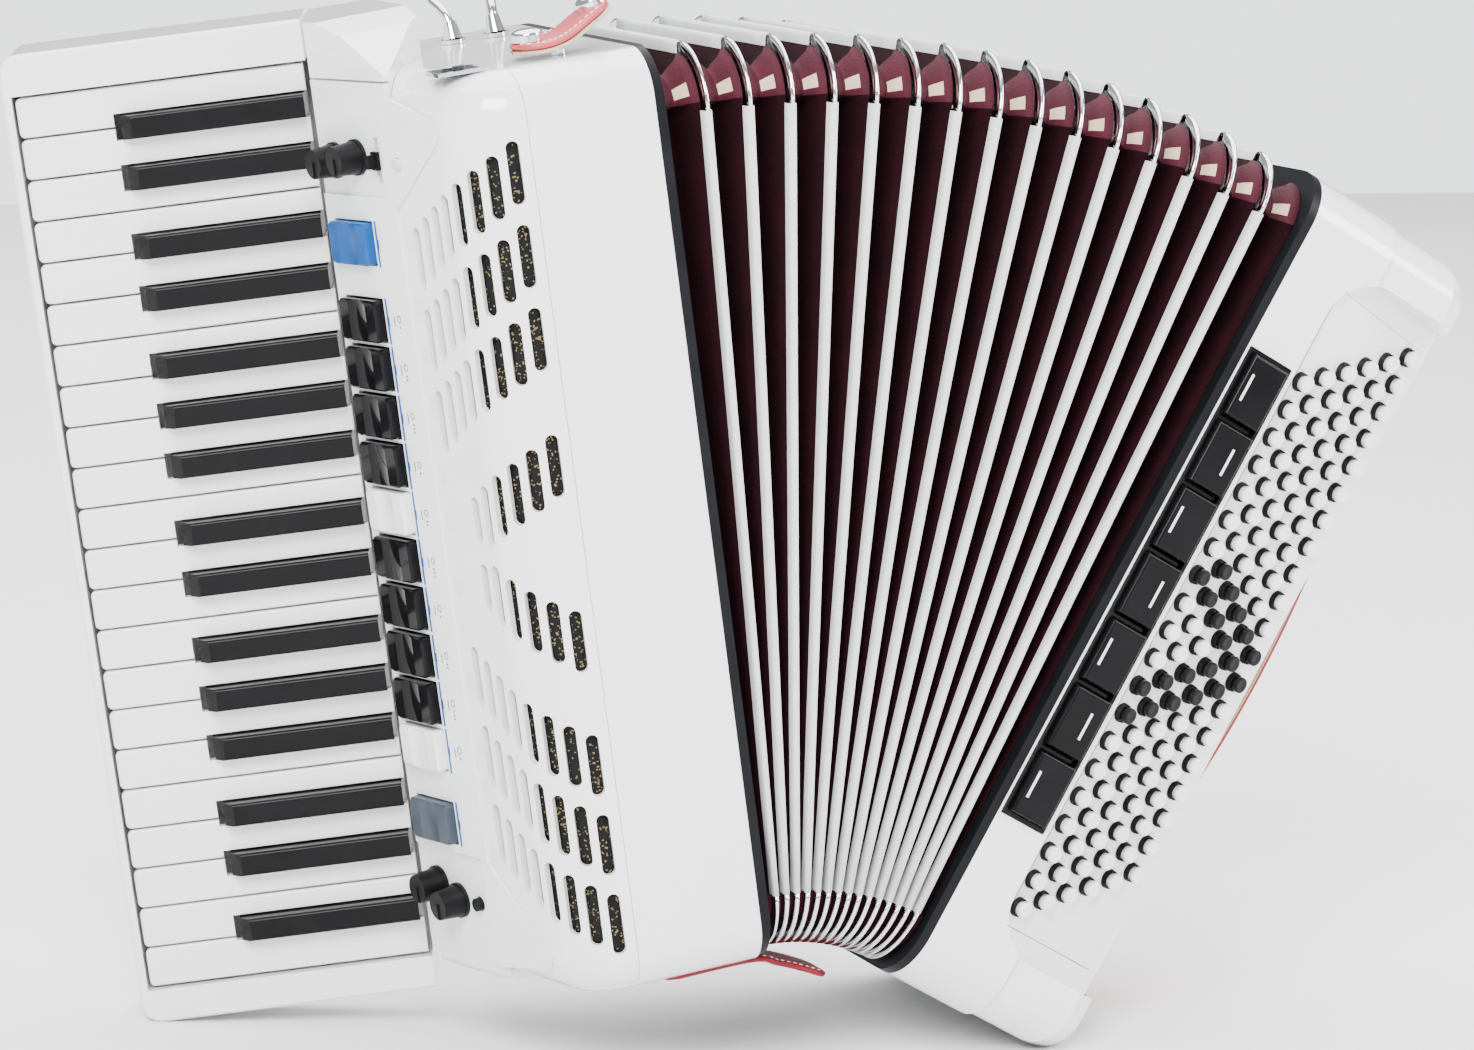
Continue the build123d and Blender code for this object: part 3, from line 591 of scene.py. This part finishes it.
COLLAR = [(3.85, 0.0), (4.6, 0.0), (4.6, 0.7), (4.4, 1.0), (4.35, 2.3), (4.15, 2.6), (3.85, 2.6), (3.85, 0.0)]
BUTTON_CAP = [(3.12, 3.9), (3.72, 3.95), (3.75, 6.2), (3.6, 6.6), (3.2, 6.8), (2.4, 6.75), (1.2, 6.62),
              (0.02, 6.6)]
PANEL_SKIN = 0.62

collars = []
caps_of = {"white": [], "black": []}
for col, row, x, z in button_sites():
    site = BASS_FACE @ shift(x, 0, z) @ turn(90, "X")
    collars.append(lathe(site @ shift(0, 0, PANEL_SKIN), COLLAR, 24))
    tone = "black" if button_is_black(col, row) else "white"
    caps_of[tone].append(lathe(site, BUTTON_CAP, 24))
for tone, mat in (("white", KEY_WHITE), ("black", SATIN_BLACK)):
    tops = piece("button_caps_" + tone, *join(caps_of[tone]), [mat])
    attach(tops, "bass_buttons_" + tone)
collars = piece("button_collars", *join(collars), [SATIN_BLACK])
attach(collars, "bass")

BAR_TOP = 320.0
BAR_PITCH = 33.2
marks = []
for i in range(7):
    middle = BAR_TOP - BAR_PITCH * (i + 0.5)
    left = 20.0 if i % 2 else 11.0
    low, high = middle - 6.5, middle + 6.5
    plate = [at(BASS, left + dx, -4.86, z) for dx, z in ((0, low), (1.2, low), (1.2, high), (0, high))]
    plate += [at(BASS, left + dx, -4.70, z) for dx, z in ((0, low), (1.2, low), (1.2, high), (0, high))]
    faces = [(0, 1, 2, 3), (7, 6, 5, 4), (0, 4, 5, 1), (1, 5, 6, 2), (2, 6, 7, 3), (3, 7, 4, 0)]
    marks.append((plate, faces))
marks = piece("register_bar_marks", *join(marks), [WHITE_INK], smooth=False)
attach(marks, "bass_registers")


# ---- panel markings, all generic -----------------------------------------------------
INK_OUT = -1.66
INK_IN = -1.58


def rectangle(y0, y1, z0, z1):
    return slab(PANEL, [(y0, z0), (y1, z0), (y1, z1), (y0, z1)], INK_OUT, INK_IN)


def outline(y, z, ry, rz, line=0.35, steps=20):
    verts, faces = [], []
    for x in (INK_OUT, INK_IN):
        for grow in (0.0, -line):
            for i in range(steps):
                t = 2 * math.pi * i / steps
                verts.append(at(PANEL, x, y + (ry + grow) * math.cos(t), z + (rz + grow) * math.sin(t)))
    for i in range(steps):
        j = (i + 1) % steps
        faces.append((i, j, steps + j, steps + i))
        faces.append((2 * steps + i, 3 * steps + i, 3 * steps + j, 2 * steps + j))
        faces.append((i, 2 * steps + i, 2 * steps + j, j))
        faces.append((steps + i, steps + j, 3 * steps + j, 3 * steps + i))
    return verts, faces


REGISTER_Z = [296.6 - 21.4 * i for i in range(10)]
blue, grey = [], []
for i, z in enumerate([330.5] + REGISTER_Z + [70.5]):
    blue.append(rectangle(19.6, 21.0, z - 10.2, z + 10.2))
    blue.append(rectangle(19.0, 20.0, z - 2.0, z + 2.0))
    if i % 2 == 0:
        blue.append(outline(56.6, z - 4.0, 1.6, 6.5))
for i, z in enumerate(REGISTER_Z):
    grey.append(outline(11.0, z + 1.5, 1.6, 1.6, 0.4))
    for dot in range(1 + i % 3):
        grey.append(outline(11.0, z - 2.2 - 1.7 * dot, 0.55, 0.55, 0.5, 10))
    grey.append(rectangle(14.6, 15.2, z - 2.0, z + 2.4))
for name, shapes, mat, slot in (("panel_blue_marks", blue, BLUE_INK, "register_blue"),
                                ("panel_grey_marks", grey, GREY_INK, "register_grey")):
    ink = piece(name, *join(shapes), [mat], smooth=False)
    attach(ink, "treble")

# ---- floor, light and camera ---------------------------------------------------------
def floor():
    size, deep = 4.0, 0.02
    verts = [(-size, -size, 0), (size, -size, 0), (size, size, 0), (-size, size, 0),
             (-size, -size, -deep), (size, -size, -deep), (size, size, -deep), (-size, size, -deep)]
    faces = [(0, 1, 2, 3), (7, 6, 5, 4), (0, 4, 5, 1), (1, 5, 6, 2), (2, 6, 7, 3), (3, 7, 4, 0)]
    mat = plain("floor_pale", (0.86, 0.86, 0.86), 0.6, vary=0.01, bump=0.02, bump_scale=40.0)
    obj = piece("studio_floor", verts, faces, [mat], smooth=False)


def area_light(name, place, aim, size, power, tint=(1, 1, 1)):
    light = bpy.data.lights.new(name, "AREA")
    light.shape = "RECTANGLE"
    light.size, light.size_y = size
    light.energy = power
    light.color = tint
    obj = bpy.data.objects.new(name, light)
    obj.location = place
    obj.rotation_euler = (Vector(aim) - Vector(place)).to_track_quat("-Z", "Y").to_euler()
    bpy.context.scene.collection.objects.link(obj)


floor()
area_light("key_light", (-1.2, -2.0, 1.9), (0, 0, 0.2), (1.5, 1.3), 190.0)
area_light("side_light", (1.9, -1.3, 1.3), (0.05, 0, 0.2), (0.7, 1.5), 70.0)
area_light("top_light", (0.3, 1.6, 3.2), (0.3, 1.6, 0.0), (5.0, 5.0), 430.0)


def studio_world():
    """Soft white all round: bright below the horizon, where only the backdrop shows, and dimmer above it."""
    world = bpy.data.worlds.new("studio")
    world.use_nodes = True
    nodes = world.node_tree.nodes
    links = world.node_tree.links
    where = nodes.new("ShaderNodeTexCoord")
    split = nodes.new("ShaderNodeSeparateXYZ")
    fade = nodes.new("ShaderNodeMapRange")
    fade.inputs["From Min"].default_value = -0.01
    fade.inputs["From Max"].default_value = 0.05
    fade.inputs["To Min"].default_value = 2.4
    fade.inputs["To Max"].default_value = 0.55
    links.new(where.outputs["Generated"], split.inputs["Vector"])
    links.new(split.outputs["Z"], fade.inputs["Value"])
    links.new(fade.outputs["Result"], nodes["Background"].inputs["Strength"])
    nodes["Background"].inputs["Color"].default_value = (0.95, 0.97, 1.0, 1)
    bpy.context.scene.world = world


studio_world()

CAM_TURN = 19.94
CAM_DROP = 11.81
CAM_ROLL = 0.63
CAM_TILT = 7.9
CAM_AWAY = 2278.83
CAM_AIM = (7.58, 0.0, 195.85)


def camera():
    a, e, r, w = (math.radians(v) for v in (CAM_TURN, CAM_DROP, CAM_ROLL, CAM_TILT))
    look = Vector((math.sin(a) * math.cos(e), math.cos(a) * math.cos(e), -math.sin(e)))
    right = Vector((math.cos(a), -math.sin(a), 0))
    up = right.cross(look)
    right, up = right * math.cos(r) + up * math.sin(r), up * math.cos(r) - right * math.sin(r)
    right, up = right * math.cos(w) - up * math.sin(w), right * math.sin(w) + up * math.cos(w)
    place = Vector(CAM_AIM) - look * CAM_AWAY
    local = Matrix.Identity(4)
    for row in range(3):
        local[row][0] = right[row]
        local[row][1] = up[row]
        local[row][2] = -look[row]
        local[row][3] = place[row] * MM
    data = bpy.data.cameras.new("photo_camera")
    data.sensor_width = 36.0
    data.lens = 36.0 * 5319.58 / 1474
    data.clip_start = 0.05
    obj = bpy.data.objects.new("photo_camera", data)
    obj.matrix_world = TREBLE @ local
    bpy.context.scene.collection.objects.link(obj)
    bpy.context.scene.camera = obj


camera()
